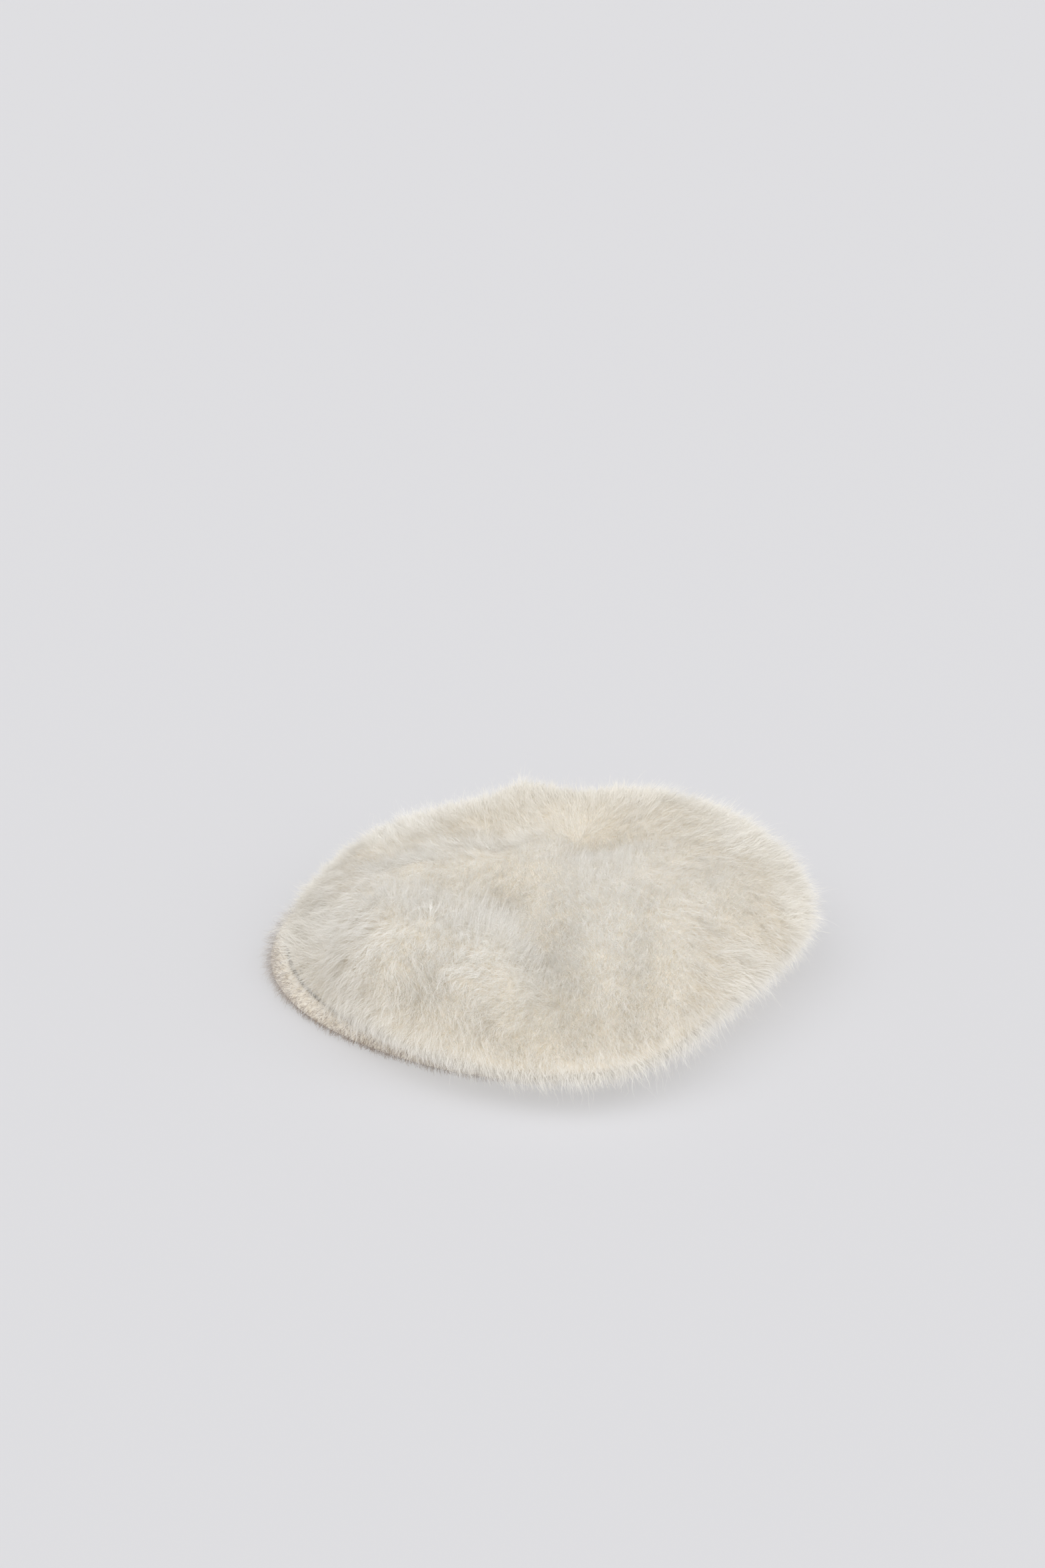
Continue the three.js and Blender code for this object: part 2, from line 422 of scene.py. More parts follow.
# %% Rules for the edges
LOW_BELOW, LOW_OVER = 32 * MM, 14 * MM   # the height where the crown's turned-down part starts
RIM_SHADE_DEPTH, GREY_OVER = 0.65, 36 * MM
GREY_RIM_FROM, GREY_BACK_FROM = 80 * MM, 50 * MM   # distances from the middle of the hat


def crown_edge(place, around, length, tone):
    """Low down the crown's fibres vary in length. Towards the rim and back their tone drops:
    painted shade.
    """
    low = np.clip((LOW_BELOW - place[:, 2]) / LOW_OVER, 0, 1)
    hanging = 0.4 * bump_at(around, 190.0, 22.0) - 0.45 * bump_at(around, 234.0, 20.0)
    hanging -= 0.4 * bump_at(around, 5.0, 55.0) + 0.3 * bump_at(around, -90.0, 32.0)
    _, reach = outward(place)
    # Painted shade: towards the rim, and more at the back, the fibres' tone drops.
    at_the_rim = RIM_SHADE_DEPTH * np.clip((reach - GREY_RIM_FROM) / GREY_OVER, 0, 1)
    behind = np.clip((reach - GREY_BACK_FROM) / GREY_OVER, 0, 1)
    behind = bump_at(around, 78.0, 62.0) * behind
    painted_rim_shade = np.maximum(at_the_rim, behind)
    return length * (1.0 + low * hanging), tone * (1.0 - painted_rim_shade)


def underside_edge(_, around, length, tone):
    """The lower layer is full and pale at the left. Where the crown's edge overhangs it, it is
    darkened: painted shade.
    """
    free = bump_at(around, 174.0, 19.0)
    overhang_shade = bump_at(around, 215.0, 34.0)
    # Painted shade where the crown's edge overhangs the lower layer.
    shade = (0.9 * tone + 0.5 * free) * (1.0 - overhang_shade)
    return length * (0.28 + 0.6 * free), np.clip(shade, 0, 1)


print("fibres turn grey over the last", round(GREY_OVER / MM), "mm of the crown")


# %% A rule for combing
def comb(skin, outer, at_the_edge, longest, shortest, swirl, fall):
    """Store comb, pile, tone and cover on a cloth. outer says which corners are outside."""
    place, normal = corners(skin.data)
    out = np.zeros_like(place)
    out[:, :2], reach = outward(place)
    reach = reach[:, None]
    out /= np.maximum(reach, 1e-6)
    around = np.arctan2(out[:, 1], out[:, 0])
    side, front = bump_at(around, 178.0, 26.0), bump_at(around, -80.0, 50.0)
    falls = fall * (1.0 - 0.2 * side + 0.9 * front)
    flow = np.zeros_like(place)
    flow[:, :2] = place[:, :2] - COMBED_FROM
    flow /= np.maximum(np.linalg.norm(flow, axis=1, keepdims=True), 1e-6)
    edge = np.clip((reach - RIM_LEAN_FROM) / RIM_LEAN_OVER, 0, 1)
    lean = flow * (1 - edge) + out * edge
    lean[:, 2] -= falls * (1.0 - np.clip(normal[:, 2], 0, 1))
    lean += swirl * waves(place, 38 * MM, 1) + 0.5 * swirl * waves(place, 12 * MM, 2)
    lean -= normal * (lean * normal).sum(1, keepdims=True)
    lean /= np.maximum(np.linalg.norm(lean, axis=1, keepdims=True), 1e-6)

    left = 0.5 - 0.5 * np.cos(around - SHORT_SIDE)
    length = shortest + (longest - shortest) * left * np.clip(reach[:, 0] / (90 * MM), 0.3, 1)
    length *= 1.0 + 0.18 * waves(place, 22 * MM, 3)[:, 0]
    depth = hollowness(place) if skin is crown_skin else np.zeros(len(place))
    length *= 1.0 - 0.18 * np.clip(depth / FULL_HOLLOW, -1, 1)
    # Fibres in the hollows get a lower tone and so a darker colour, and fibres on the full parts a
    # higher one: painted shade and painted light.
    tone = 0.95 - 0.45 * np.clip(depth / FULL_HOLLOW, -0.6, 1.2)
    tone = tone + 0.12 * waves(place, 16 * MM, 4)[:, 0]
    length, tone = at_the_edge(place, around, length, tone)
    stored(skin.data, "tone", np.clip(tone, 0, 1))
    stored(skin.data, "comb", lean)
    stored(skin.data, "pile", length)
    stored(skin.data, "cover", outer(place, normal).astype(float))
    span = [round(each / MM, 1) for each in (length.min(), length.max())]
    print(skin.name, "fibres", span[0], "to", span[1], "mm")


# %% [markdown]
# ## Which side is outside
# Each layer is a closed shell, so one mesh holds its outer and its inner wall. A corner's normal
# tells the two apart, and the lip between them counts as outside, so that no bare edge is left.

# %% Comb both layers
def facing(place, normal):
    """How much each corner faces away from the middle of the hat, from -1 to 1."""
    out, reach = outward(place)
    return (out * normal[:, :2]).sum(1) / reach.clip(1e-6)


def crown_outside(place, normal):
    """The crown's outer wall faces up or outwards, its inner wall inwards, and its lip down."""
    away = facing(place, normal)
    lip = (place[:, 2] < 26 * MM) & (away > -0.4)
    return (normal[:, 2] > 0.1) | (away > 0.25) | lip


def under_outside(place, normal):
    """The lower layer's outer wall faces down or outwards. Its rim is all outside."""
    out, reach = outward(place)
    slot = (np.degrees(np.arctan2(out[:, 1], out[:, 0])) % 360 // (360 // RIM_SLOTS)).astype(int)
    rim = np.zeros(RIM_SLOTS)
    np.maximum.at(rim, slot, reach)
    away = facing(place, normal)
    return (normal[:, 2] < 0.1) | (away > 0.2) | (reach > rim[slot] - 6 * MM)


comb(crown_skin, crown_outside, crown_edge, 12.0 * MM, 8 * MM, 1.0, 1.8)
comb(under_skin, under_outside, underside_edge, 12 * MM, 9 * MM, 0.4, 2.0)

# %% [markdown]
# ## Pile
# A fibre is a narrow strip of a few faces. Geometry Nodes scatters roots over the cloth, puts a
# straight strip on each root, and then bends every strip by a rule: it rises from the cloth, leans
# the way the cloth is combed, leans towards its tuft, and wanders a little. The floor and a
# ceiling just above the hat hold every fibre between them.

# %% Helpers for trees that make geometry
def tree_with(name, **inputs):
    """A Geometry Nodes tree: a geometry in and out, and named inputs with their defaults."""
    tree = bpy.data.node_groups.new(name, "GeometryNodeTree")
    tree.interface.new_socket("Geometry", in_out="INPUT", socket_type="NodeSocketGeometry")
    tree.interface.new_socket("Geometry", in_out="OUTPUT", socket_type="NodeSocketGeometry")
    kinds = {float: "NodeSocketFloat", int: "NodeSocketInt", type(None): "NodeSocketMaterial"}
    for title, value in inputs.items():
        socket = tree.interface.new_socket(
            title.replace("_", " "), in_out="INPUT", socket_type=kinds[type(value)]
        )
        if value is not None:
            socket.default_value = value
    return tree, tree.nodes.new("NodeGroupInput"), tree.nodes.new("NodeGroupOutput")


def named(tree, name, kind="FLOAT_VECTOR"):
    return add(tree, "GeometryNodeInputNamedAttribute", {0: name}, data_type=kind).outputs[0]


def keep(tree, geometry, name, value, kind="FLOAT_VECTOR", domain="POINT"):
    inputs = {0: geometry, 2: name, 3: value}
    return add(
        tree, "GeometryNodeStoreNamedAttribute", inputs, data_type=kind, domain=domain
    ).outputs[0]


def dice(tree, seed):
    """Three random numbers from 0 to 1 for each point."""
    kind = "FLOAT_VECTOR"
    return add(tree, "FunctionNodeRandomValue", {"Seed": seed}, data_type=kind).outputs[0]


# %% A tree that grows pile on cloth
FLOOR_GAP = 0.3 * MM
PILE_TOP = cad_bounds[1].z + 11 * MM


def pile_tree():
    tree, given, result = tree_with(
        "pile", Density=1.0, Length=1.0, Width=0.2 * MM, Rise=1.0, Droop=0.5, Lean=0.7,
        Spread=0.5, Tuft_Size=6 * MM, Tufting=0.5, Wander=0.4, Softness=0.6, Steps=3, Seed=1,
        Finish=None,
    )
    of = given.outputs
    density = number(tree, "MULTIPLY", of["Density"], named(tree, "cover", "FLOAT"))
    scattered = add(tree, "GeometryNodeDistributePointsOnFaces", {
        "Mesh": of["Geometry"], "Density": density, "Seed": of["Seed"],
    })
    place = add(tree, "GeometryNodeInputPosition").outputs[0]
    roots = keep(tree, scattered.outputs["Points"], "up", scattered.outputs["Normal"])
    roots = keep(tree, roots, "root", place)
    roots = keep(tree, roots, "luck", dice(tree, of["Seed"]))
    roots = keep(tree, roots, "twist", dice(tree, number(tree, "ADD", of["Seed"], 100)))

    rows = number(tree, "ADD", of["Steps"], 1)
    strip = add(tree, "GeometryNodeMeshGrid", {0: 1.0, 1: 1.0, 2: 2, 3: rows}).outputs[0]
    own = add(tree, "ShaderNodeSeparateXYZ", {0: place})
    strip = keep(tree, strip, "across", own.outputs[0], "FLOAT")
    strip = keep(tree, strip, "along", number(tree, "ADD", own.outputs[1], 0.5), "FLOAT")
    planted = add(tree, "GeometryNodeInstanceOnPoints", {"Points": roots, "Instance": strip})
    strips = add(tree, "GeometryNodeRealizeInstances", {0: planted.outputs[0]}).outputs[0]

    root, up, lie = named(tree, "root"), named(tree, "up"), named(tree, "comb")
    luck, twist = named(tree, "luck"), named(tree, "twist")
    along, across = named(tree, "along", "FLOAT"), named(tree, "across", "FLOAT")
    lucky = add(tree, "ShaderNodeSeparateXYZ", {0: luck})
    twisted = add(tree, "ShaderNodeSeparateXYZ", {0: twist})
    ahead = number(tree, "MULTIPLY", along, along)

    length = number(tree, "MULTIPLY", named(tree, "pile", "FLOAT"), of["Length"])
    length = number(tree, "MULTIPLY", length, remapped(tree, lucky.outputs[0], 0, 1, 0.6, 1.25))

    height = number(tree, "SUBTRACT", number(tree, "MULTIPLY", of["Rise"], along),
                    number(tree, "MULTIPLY", of["Droop"], ahead))
    leaning = number(tree, "MULTIPLY_ADD", ahead, 0.6, number(tree, "MULTIPLY", along, 0.4))
    reach = number(tree, "MULTIPLY", of["Lean"], leaning)
    astray = vector(tree, "SCALE", vector(tree, "SUBTRACT", luck, (0.5, 0.5, 0.5)),
                    number(tree, "MULTIPLY", of["Spread"], along))
    upward = number(tree, "MULTIPLY", along, 5 * MM)
    onward = add(tree, "ShaderNodeCombineXYZ", {2: upward}).outputs[0]
    wave = add(tree, "ShaderNodeTexNoise", {
        "Vector": total(tree, root, onward, vector(tree, "SCALE", luck, 5 * MM)),
        "Scale": 190.0, "Detail": 1.0,
    }).outputs[1]
    wander = vector(tree, "SCALE", vector(tree, "SUBTRACT", wave, (0.5, 0.5, 0.5)),
                    number(tree, "MULTIPLY", of["Wander"], ahead))
    rising, lying = vector(tree, "SCALE", up, height), vector(tree, "SCALE", lie, reach)
    course = total(tree, rising, lying, astray, wander)
    tuft = add(tree, "ShaderNodeTexVoronoi", {
        "Vector": root, "Scale": number(tree, "DIVIDE", 1.0, of["Tuft Size"]),
    }).outputs["Position"]
    pull = vector(tree, "SUBTRACT", tuft, root)
    upright = vector(tree, "SCALE", up, vector(tree, "DOT_PRODUCT", pull, up))
    pull = vector(tree, "SUBTRACT", pull, upright)
    gather = vector(tree, "SCALE", pull, number(tree, "MULTIPLY", of["Tufting"], ahead))

    flat = vector(tree, "NORMALIZE", vector(tree, "CROSS_PRODUCT", lie, up))
    roll = number(tree, "MULTIPLY", number(tree, "SUBTRACT", twisted.outputs[0], 0.5), 1.6)
    side = vector(tree, "NORMALIZE", total(tree, flat, vector(tree, "SCALE", up, roll)))
    taper = number(tree, "MULTIPLY_ADD", ahead, -0.75, 1.0)
    half = number(tree, "MULTIPLY", number(tree, "MULTIPLY", of["Width"], taper), across)
    centre = total(tree, root, vector(tree, "SCALE", course, length), gather)
    loose = total(tree, centre, vector(tree, "SCALE", side, half))
    held = vector(tree, "MAXIMUM", loose, (-1.0, -1.0, FLOOR_GAP))
    held = vector(tree, "MINIMUM", held, (1.0, 1.0, PILE_TOP))
    set_place = {"Geometry": strips, "Position": held}
    bent = add(tree, "GeometryNodeSetPosition", set_place).outputs[0]

    tone = number(tree, "ADD", number(tree, "MULTIPLY", named(tree, "tone", "FLOAT"), 0.6),
                  number(tree, "MULTIPLY", twisted.outputs[1], 0.4))
    map_place = add(tree, "ShaderNodeCombineXYZ", {
        0: number(tree, "MULTIPLY_ADD", across, 0.05, remapped(tree, tone, 0, 1, 0.04, 0.96)),
        1: remapped(tree, along, 0, 1, 0.02, 0.98),
    }).outputs[0]
    bent = keep(tree, bent, FIBRE_MAP, map_place, "FLOAT2", "CORNER")
    face = add(tree, "GeometryNodeInputNormal").outputs[0]
    soft = total(tree, vector(tree, "SCALE", up, of["Softness"]),
                 vector(tree, "SCALE", face, number(tree, "SUBTRACT", 1.0, of["Softness"])))
    bent = add(tree, "GeometryNodeSetMeshNormal", {0: bent, 1: vector(tree, "NORMALIZE", soft)},
               mode="FREE", domain="POINT").outputs[0]
    finish = add(tree, "GeometryNodeSetMaterial", {"Geometry": bent, "Material": of["Finish"]})
    tree.links.new(finish.outputs[0], result.inputs[0])
    return tree


PILE = pile_tree()
print("pile tree:", len(PILE.nodes), "nodes")

# %% Grow a layer of pile
ROUGH_WORK = ("root", "up", "comb", "luck", "twist", "along", "across", "pile", "cover", "tone")


def modifier_inputs(tree, modifier, **values):
    """Set a modifier's inputs by the identifiers of the tree's named sockets."""
    sockets = {s.name: s.identifier for s in tree.interface.items_tree if s.in_out == "INPUT"}
    for title, value in values.items():
        modifier[sockets[title.replace("_", " ")]] = value


def tell_size(piece):
    triangles = sum(len(face.vertices) - 2 for face in piece.data.polygons)
    print(piece.name, triangles, "triangles")


def grow(name, skin, finish, **settings):
    """Grow one layer of pile on a cloth, as a piece of its own."""
    piece = shown(name, skin.data.copy())
    piece.data.materials.clear()
    piece.data.materials.append(finish)
    modifier = piece.modifiers.new("pile", "NODES")
    modifier.node_group = PILE
    modifier_inputs(PILE, modifier, Finish=finish, **settings)
    finished_mesh(piece)
    for rough in ROUGH_WORK:
        layer = piece.data.attributes.get(rough)
        if layer:
            piece.data.attributes.remove(layer)
    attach(piece, BODY)
    tell_size(piece)
    return piece


# %% [markdown]
# ## Growing the crown's pile
# Three kinds of fibre are mixed. Down is short, dense and stands up. Guard hairs are long and
# combed over. A few stray hairs float above the rest and blur the outline.

# %% Grow the crown's pile
crown_pile = []
for layer in range(3):
    crown_pile.append(grow(
        f"crown_down_{layer + 1}", crown_skin, crown_fibre, Density=590000.0, Length=0.65,
        Width=0.17 * MM, Rise=1.1, Droop=0.35, Lean=0.5, Spread=1.3, Tuft_Size=5 * MM,
        Tufting=0.1, Wander=1.4, Softness=0.9, Steps=2, Seed=11 + layer,
    ))
for layer in range(3):
    crown_pile.append(grow(
        f"crown_guard_{layer + 1}", crown_skin, crown_fibre, Density=300000.0, Length=0.95,
        Width=0.14 * MM, Rise=1.0, Droop=0.5, Lean=0.7, Spread=1.0, Tuft_Size=7 * MM,
        Tufting=0.07, Wander=1.9, Softness=0.85, Steps=4, Seed=31 + layer,
    ))
crown_pile.append(grow(
    "crown_halo", crown_skin, crown_fibre, Density=120000.0, Length=1.1, Width=0.09 * MM,
    Rise=1.1, Droop=0.35, Lean=0.5, Spread=1.0, Tuft_Size=9 * MM, Tufting=0.1, Wander=2.0,
    Softness=0.85, Steps=5, Seed=51,
))

# %% [markdown]
# ## Growing the underside's pile
# The lower layer lies against the floor and rubs on it, so its fibres are shorter and flatter
# than the crown's. Their deep brown roots and grey tips are painted shade, for the shadow under
# the crown's edge. Down alone is enough for it.

# %% Grow the underside's pile
under_pile = []
for layer in range(2):
    under_pile.append(grow(
        f"underside_down_{layer + 1}", under_skin, under_fibre, Density=500000.0,
        Length=0.85, Width=0.18 * MM, Rise=1.0, Droop=0.35, Lean=0.6, Spread=1.1,
        Tuft_Size=5 * MM, Tufting=0.15, Wander=1.4, Softness=0.85, Seed=71 + layer,
    ))

# %% [markdown]
# ## The inside
# The inner walls aren't brushed as hard as the outside. A short nap covers them, thin enough to
# leave the hollow of the crown free. It is the same tree with its cover turned round.

# %% Grow the nap inside
NAP_LENGTH = 3.0 * MM


def lining_of(skin):
    """A copy of a cloth's surface that grows pile only on its inner side."""
    mesh = skin.data.copy()
    cover = np.empty(len(mesh.vertices), np.float32)
    mesh.attributes["cover"].data.foreach_get("value", cover)
    mesh.attributes["cover"].data.foreach_set("value", 1.0 - cover)
    pile = np.full(len(mesh.vertices), NAP_LENGTH, np.float32)
    mesh.attributes["pile"].data.foreach_set("value", pile)
    return bpy.data.objects.new("lining", mesh)


for name, skin, finish, pile in (
    ("crown_nap", crown_skin, crown_fibre, crown_pile),
    ("underside_nap", under_skin, under_fibre, under_pile),
):
    lining = lining_of(skin)
    pile.append(grow(
        name, lining, finish, Density=260000.0, Length=1.0, Width=0.2 * MM, Rise=0.5,
        Droop=0.2, Lean=0.7, Spread=1.1, Tuft_Size=4 * MM, Tufting=0.1, Wander=1.0,
        Softness=0.8, Steps=2, Seed=91,
    ))
    bpy.data.objects.remove(lining)

# %% [markdown]
# ## Headband
# The band is knitted in rib, which stretches, and folded up inside itself round an elastic. Ribs
# run up the band all round. Their number is a power of two, so that each rib gets the same few
# corners of the smoothed mesh, and a corner lies on every crest and in every furrow.

# %% A group that knits ribs
RIBS = 128
RIB_DEPTH = 0.35 * MM
STITCH_ROW = 2.8 * MM


def rib_group():
    """A shader group: how high the rib and its stitches stand at a place on the band."""
    tree = bpy.data.node_groups.new("rib_knit", "ShaderNodeTree")
    tree.interface.new_socket("Ribs", in_out="INPUT", socket_type="NodeSocketFloat")
    tree.interface.new_socket("Row", in_out="INPUT", socket_type="NodeSocketFloat")
    tree.interface.new_socket("Height", in_out="OUTPUT", socket_type="NodeSocketFloat")
    given, result = tree.nodes.new("NodeGroupInput"), tree.nodes.new("NodeGroupOutput")
    place = add(tree, "ShaderNodeTexCoord").outputs["Object"]
    centred = vector(tree, "SUBTRACT", place, (float(MIDDLE[0]), float(MIDDLE[1]), 0.0))
    axes = add(tree, "ShaderNodeSeparateXYZ", {0: centred})
    angle = number(tree, "ARCTAN2", axes.outputs[1], axes.outputs[0])
    turns = number(tree, "MULTIPLY", angle, given.outputs["Ribs"])
    rib = number(tree, "MULTIPLY_ADD", number(tree, "COSINE", turns), 0.5, 0.5)
    half_turns = number(tree, "MULTIPLY", turns, 0.5)
    slant = number(tree, "ABSOLUTE", number(tree, "SINE", half_turns))
    rows = number(tree, "DIVIDE", axes.outputs[2], given.outputs["Row"])
    steps = number(tree, "MULTIPLY", number(tree, "SUBTRACT", rows, slant), 2 * math.pi)
    stitch = number(tree, "MULTIPLY_ADD", number(tree, "SINE", steps), 0.5, 0.5)
    stitch_share = number(tree, "MULTIPLY", stitch, 0.4)
    height = number(tree, "ADD", number(tree, "MULTIPLY", rib, 0.6), stitch_share)
    tree.links.new(height, result.inputs[0])
    return tree


RIB_KNIT = rib_group()
print("rib group:", len(RIB_KNIT.nodes), "nodes,", RIBS, "ribs round the band")


# %% A knitted finish
def knit_finish(name, light, dark, ribs, row):
    material, tree, shader = new_finish(name)
    knit = add(tree, "ShaderNodeGroup", node_tree=RIB_KNIT)
    knit.inputs["Ribs"].default_value = ribs
    knit.inputs["Row"].default_value = row
    height = number(tree, "MULTIPLY", knit.outputs["Height"], 0.75)
    place = add(tree, "ShaderNodeTexCoord").outputs["Object"]
    fuzz = add(tree, "ShaderNodeTexNoise", {"Vector": place, "Scale": 900.0, "Detail": 3.0})
    mask = number(tree, "ADD", height, number(tree, "MULTIPLY", fuzz.outputs[0], 0.25))
    # The colour darkens down into the rib's furrows and the stitches' dips: painted shade, with
    # some random fuzz.
    toned = blended(tree, remapped(tree, mask, 0.2, 0.8, 0, 1), dark, light)
    tree.links.new(toned, shader.inputs["Base Color"])
    bump = add(tree, "ShaderNodeBump", {"Height": mask, "Strength": 0.7, "Distance": 0.5 * MM})
    tree.links.new(bump.outputs[0], shader.inputs["Normal"])
    shader.inputs["Roughness"].default_value = 0.88
    shader.inputs["Sheen Weight"].default_value = 0.3
    return material


# %% Make the headband
band_knit = knit_finish("band_rib_knit", GROUND_LIGHT, GROUND_DARK, float(RIBS), STITCH_ROW)
headband = smooth_cloth("headband", "headband_cloth", band_knit, 3)
band_place, band_normal = corners(headband.data)
band_angle = np.arctan2(band_place[:, 1] - MIDDLE[1], band_place[:, 0] - MIDDLE[0])
ribs = np.cos(band_angle * RIBS)[:, None] * band_normal * RIB_DEPTH * 0.5
ribs[:, 2] = 0
move(headband, ribs)


def band_outside(_, normal):
    """All of the band but the fold that it stands on."""
    return normal[:, 2] > -0.8


comb(headband, band_outside, crown_edge, 2.5 * MM, 2.5 * MM, 1.5, 0.0)
band_nap = grow(
    "headband_nap", headband, crown_fibre, Density=420000.0, Length=1.0, Width=0.16 * MM,
    Rise=0.5, Droop=0.2, Lean=0.5, Spread=1.3, Tuft_Size=4 * MM, Tufting=0.1, Wander=1.0,
    Softness=0.8, Steps=2, Seed=111,
)

# %% [markdown]
# ## Elastic
# The elastic in the fold is a flat braid. Its cords run along it, side by side.

# %% Make the elastic
ELASTIC_CORDS = 2
GROOVE_DEPTH = 0.12 * MM
BRAID_RIBS = 480.0
BRAID_ROW = 0.9 * MM
elastic_finish = knit_finish(
    "elastic_braid", ELASTIC_WHITE, ELASTIC_DARK, BRAID_RIBS, BRAID_ROW
)
elastic = smooth_cloth("headband_elastic", "elastic_braid", elastic_finish, 2, simple=True)
elastic_place, elastic_normal = corners(elastic.data)
low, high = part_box("headband_elastic")
across_it = (elastic_place[:, 2] - low.z) / (high.z - low.z)
cords = -GROOVE_DEPTH * (0.5 - 0.5 * np.cos(across_it * ELASTIC_CORDS * 2 * math.pi))
elastic_normal[:, 2] = 0
move(elastic, elastic_normal * cords[:, None])
print("elastic:", len(elastic.data.polygons), "faces")

# %% [markdown]
# ## Yarns
# The seams are linked with yarn, and a yarn also draws the middle of the crown together. Yarn
# is two plies twisted round each other. Geometry Nodes follow a path, wind two fine paths round
# it and give both a thickness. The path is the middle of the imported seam.

# %% A tree that twists yarn
def yarn_tree():
    tree, given, result = tree_with(
        "two_ply_yarn", Turns=100, Points=8, Ply=0.5 * MM, Sides=6, Finish=None,
    )
    of = given.outputs
    count = number(tree, "MULTIPLY", of["Turns"], of["Points"])
    path = add(tree, "GeometryNodeMeshToCurve", {"Mesh": of["Geometry"]}).outputs[0]
    path = add(tree, "GeometryNodeResampleCurve", {"Curve": path, "Count": count}).outputs[0]
    along = add(tree, "GeometryNodeSplineParameter").outputs["Factor"]
    tangent = add(tree, "GeometryNodeInputTangent").outputs[0]
    up = (0.0, 0.0, 1.0)
    out = vector(tree, "NORMALIZE", vector(tree, "CROSS_PRODUCT", tangent, up))
    rise = vector(tree, "NORMALIZE", vector(tree, "CROSS_PRODUCT", out, tangent))
    shape = {"Resolution": of["Sides"], "Radius": of["Ply"]}
    section = add(tree, "GeometryNodeCurvePrimitiveCircle", shape).outputs[0]
    plies = []
    for phase in (0.0, math.pi):
        turned = number(tree, "MULTIPLY", along, of["Turns"])
        turn = number(tree, "MULTIPLY", turned, 2 * math.pi)
        turn = number(tree, "ADD", turn, phase)
        aside = number(tree, "MULTIPLY", number(tree, "COSINE", turn), of["Ply"])
        above = number(tree, "MULTIPLY", number(tree, "SINE", turn), of["Ply"])
        offset = total(tree, vector(tree, "SCALE", out, aside), vector(tree, "SCALE", rise, above))
        wound = {"Geometry": path, "Offset": offset}
        ply = add(tree, "GeometryNodeSetPosition", wound).outputs[0]
        inputs = {"Curve": ply, "Profile Curve": section}
        plies.append(add(tree, "GeometryNodeCurveToMesh", inputs).outputs[0])
    both = add(tree, "GeometryNodeJoinGeometry")
    for ply in plies:
        tree.links.new(ply, both.inputs[0])
    whole = add(tree, "GeometryNodeRealizeInstances", {0: both.outputs[0]}).outputs[0]
    finish = add(tree, "GeometryNodeSetMaterial", {"Geometry": whole, "Material": of["Finish"]})
    tree.links.new(finish.outputs[0], result.inputs[0])
    return tree


YARN = yarn_tree()
print("yarn tree:", len(YARN.nodes), "nodes")

# %% Make the yarns
RING_STEPS = 64


def middle_line(node):
    """The middle of a closed ring's section, all the way round, as a loop of edges."""
    place = np.array([v.co[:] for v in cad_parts[node].data.vertices])
    centre = (place.min(0) + place.max(0)) / 2
    turn = np.arctan2(place[:, 1] - centre[1], place[:, 0] - centre[0]) / (2 * math.pi)
    sector = np.round(turn * RING_STEPS).astype(int) % RING_STEPS
    line = [place[sector == s].mean(0) for s in range(RING_STEPS) if (sector == s).any()]
    mesh = bpy.data.meshes.new(node)
    mesh.from_pydata(line, [(i, (i + 1) % len(line)) for i in range(len(line))], [])
    return mesh


def yarn(name, node, finish, **settings):
    piece = shown(name, middle_line(node))
    modifier = piece.modifiers.new("yarn", "NODES")
    modifier.node_group = YARN
    modifier_inputs(YARN, modifier, Finish=finish, **settings)
    finished_mesh(piece)
    piece.data.shade_smooth()
    tell_size(piece)
    return piece


yarn_finish = cloth_finish("linking_yarn", GROUND_LIGHT, YARN_DARK)
rim_yarn = yarn("rim_linking_yarn", "rim_seam", yarn_finish, Turns=190, Ply=0.55 * MM)
band_yarn = yarn("band_linking_yarn", "band_seam", yarn_finish, Turns=130, Ply=0.55 * MM)
hem_yarn = yarn("hem_sewing_yarn", "hem_stitch", yarn_finish, Turns=100, Sides=4, Ply=0.2 * MM)
gather_yarn = yarn(
    "crown_gather_yarn", "crown_gather", yarn_finish, Turns=9, Points=12, Ply=0.42 * MM
)

# %% [markdown]
# ## Attaching the pieces
# Every piece rides on the hat's only body. Cloths, elastic and yarns each stand for an imported
# node, which is hidden, and the pile goes with its cloth.

for piece, node, slot in (
    (crown_skin, "crown_top", "angora_crown"),
    (under_skin, "crown_underside", "angora_underside"),
    (headband, "headband", "band_knit"),
    (elastic, "headband_elastic", "elastic"),
    (rim_yarn, "rim_seam", "linking_yarn"),
    (band_yarn, "band_seam", "linking_yarn"),
    (hem_yarn, "hem_stitch", "linking_yarn"),
    (gather_yarn, "crown_gather", "linking_yarn"),
):
    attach(piece, BODY)
    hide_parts(node)

# %% [markdown]
# ## Floor
# The hat lies on a plain pale floor. It is large enough to reach past any view. It also glows a
# little, which is painted light: the glow lifts the floor's shadows so that it stays pale in the
# shade, and its warm tint warms them.

# %% Lay the floor
FLOOR_RADIUS = 9.0
FLOOR_COLOUR = (0.25, 0.253, 0.274, 1.0)
# The floor's glow is painted light.
FLOOR_GLOW, GLOW_STRENGTH = (1.0, 0.985, 0.97, 1.0), 0.44

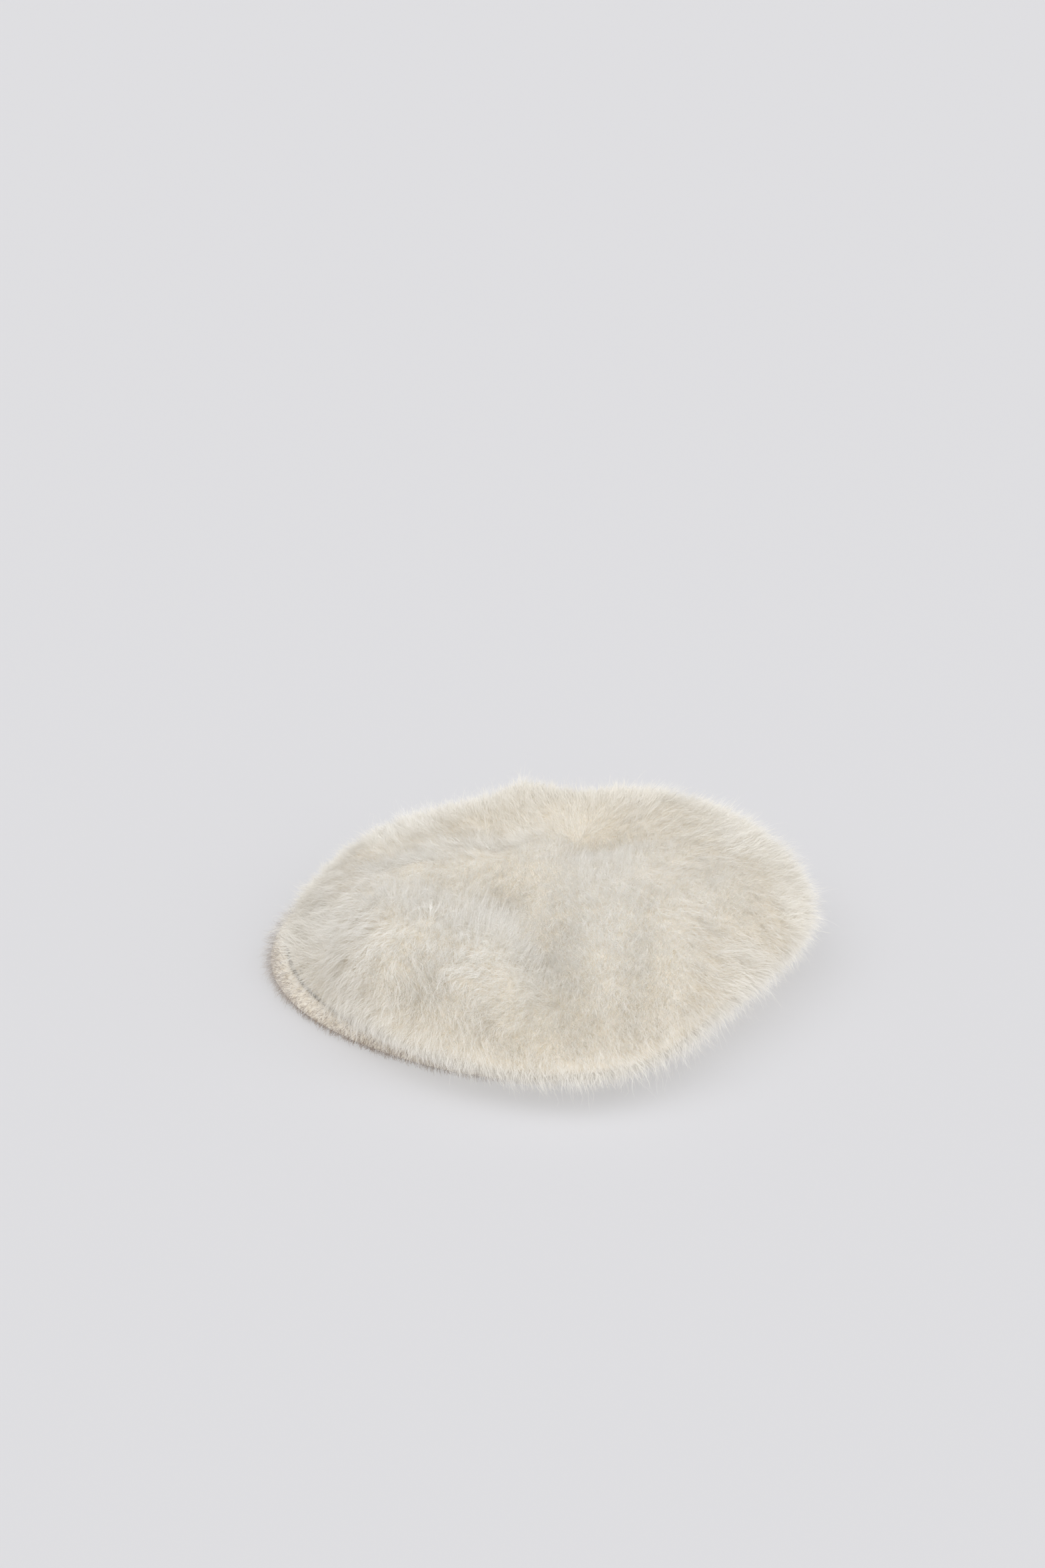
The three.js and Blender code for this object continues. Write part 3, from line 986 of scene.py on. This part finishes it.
bpy.ops.mesh.primitive_circle_add(
    vertices=128, radius=FLOOR_RADIUS, fill_type="NGON", location=(0, 0, 0)
)
floor = bpy.context.object
floor.name = "floor"
floor_finish, _, floor_shader = new_finish("floor_paper")
floor_shader.inputs["Base Color"].default_value = FLOOR_COLOUR
floor_shader.inputs["Emission Color"].default_value = FLOOR_GLOW
floor_shader.inputs["Emission Strength"].default_value = GLOW_STRENGTH
floor_shader.inputs["Roughness"].default_value = 0.95
floor_shader.inputs["Specular IOR Level"].default_value = 0.1
floor.data.materials.append(floor_finish)
print("floor:", 2 * FLOOR_RADIUS, "m across")

# %% [markdown]
# ## Light
# The light is soft and comes from nearly everywhere, as in a white room. The sky is darker high
# up behind the hat, which keeps the back of the crown from shining. A soft sun comes from the
# left, and a wider and stronger one from the right and front fills the shadows.

# %% Light the room
SKY_PALE, SKY_DARK, SKY_STRENGTH = linear("eeeff1"), linear("3c3d42"), 1.06

world = bpy.data.worlds.new("studio")
scene.world = world
world.use_nodes = True
sky = world.node_tree
where = add(sky, "ShaderNodeTexCoord").outputs["Generated"]
towards = add(sky, "ShaderNodeSeparateXYZ", {0: where})
behind = number(sky, "MULTIPLY_ADD", towards.outputs[1], 1.3, 0.3, clamp=True)
above = remapped(sky, towards.outputs[2], 0.16, 0.5, 0.0, 1.0)
shaded = number(sky, "MULTIPLY", behind, above)
background = sky.nodes["Background"]
sky.links.new(blended(sky, shaded, SKY_PALE, SKY_DARK), background.inputs[0])
background.inputs[1].default_value = SKY_STRENGTH


def soft_sun(name, energy, width, direction, colour=(1.0, 1.0, 1.0)):
    """A sun lamp as wide as a window or a wall. The width is an angle, in degrees."""
    lamp = bpy.data.lights.new(name, "SUN")
    lamp.energy = energy
    lamp.angle = math.radians(width)
    lamp.color = colour
    sun = bpy.data.objects.new(name, lamp)
    sun.rotation_euler = Vector(direction).to_track_quat("-Z", "Y").to_euler()
    scene.collection.objects.link(sun)
    print(name, "sun:", energy, "over", width, "degrees")


soft_sun("window", 0.88, 45.0, (0.6, 0.2, -1.0), (1.0, 0.985, 0.96))
soft_sun("fill", 1.38, 90.0, (-0.6, 0.55, -0.9))
scene.view_settings.view_transform = "Standard"
